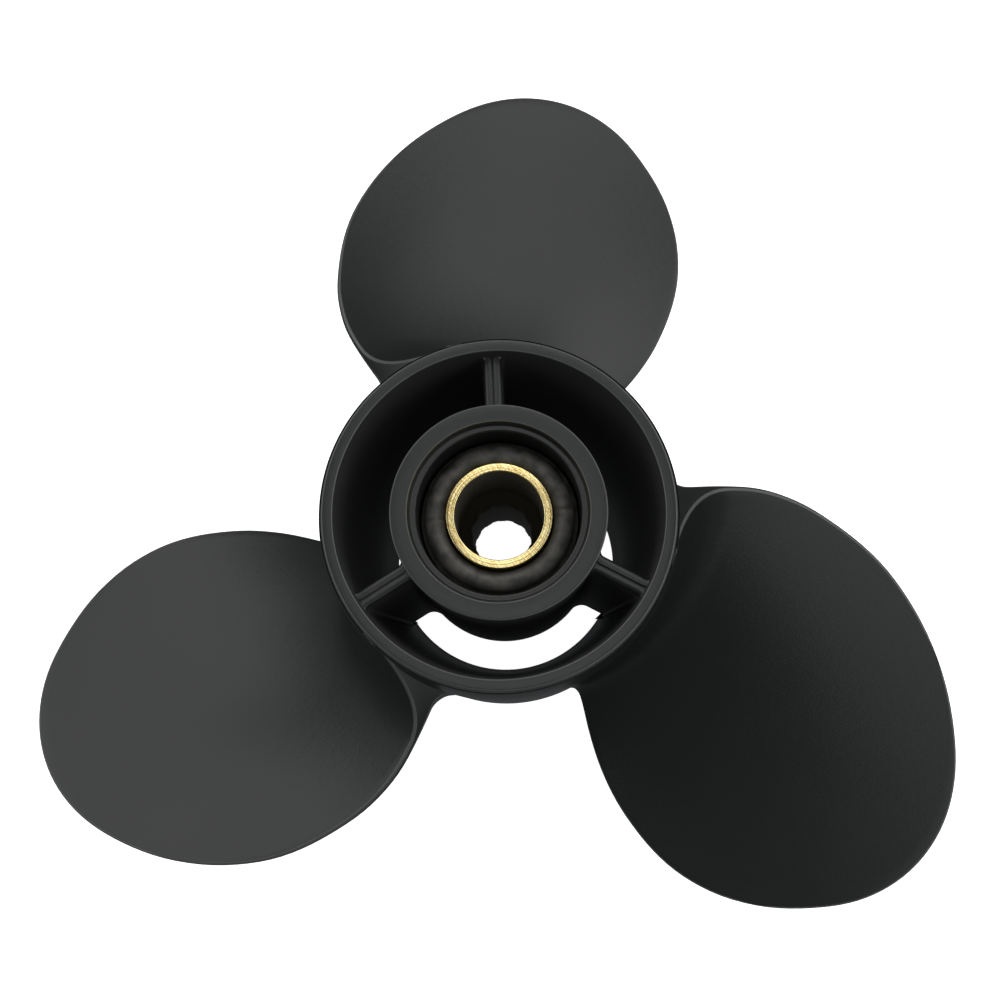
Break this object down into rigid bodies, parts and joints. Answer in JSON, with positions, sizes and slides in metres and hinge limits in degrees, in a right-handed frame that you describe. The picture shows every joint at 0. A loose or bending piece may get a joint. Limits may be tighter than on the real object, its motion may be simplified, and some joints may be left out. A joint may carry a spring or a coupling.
{
  "type": "outboard boat propeller",
  "caption": "Three-blade right-hand outboard boat propeller, a black-painted aluminium casting with exhaust passages, a rubber bushing and a splined brass sleeve.",
  "frame": {"origin": "on the shaft axis, at the centroid of the solids, 39.8 mm forward of the aft rim", "axes": "+Z along the shaft axis towards the aft rim and the nut, so the part stands on the barrel's forward end; +Y runs up the pictured top blade"},
  "size_m": [0.211, 0.1978, 0.078],
  "materials": {
    "propeller_casting": "satin black paint",
    "rubber_bushing": "matt black",
    "brass_sleeve": "turned and filed"
  },
  "bodies": {
    "root": {"propeller_casting": "propeller_casting", "rubber_bushing": "rubber_bushing", "brass_sleeve": "brass_sleeve"}
  },
  "joints": []
}
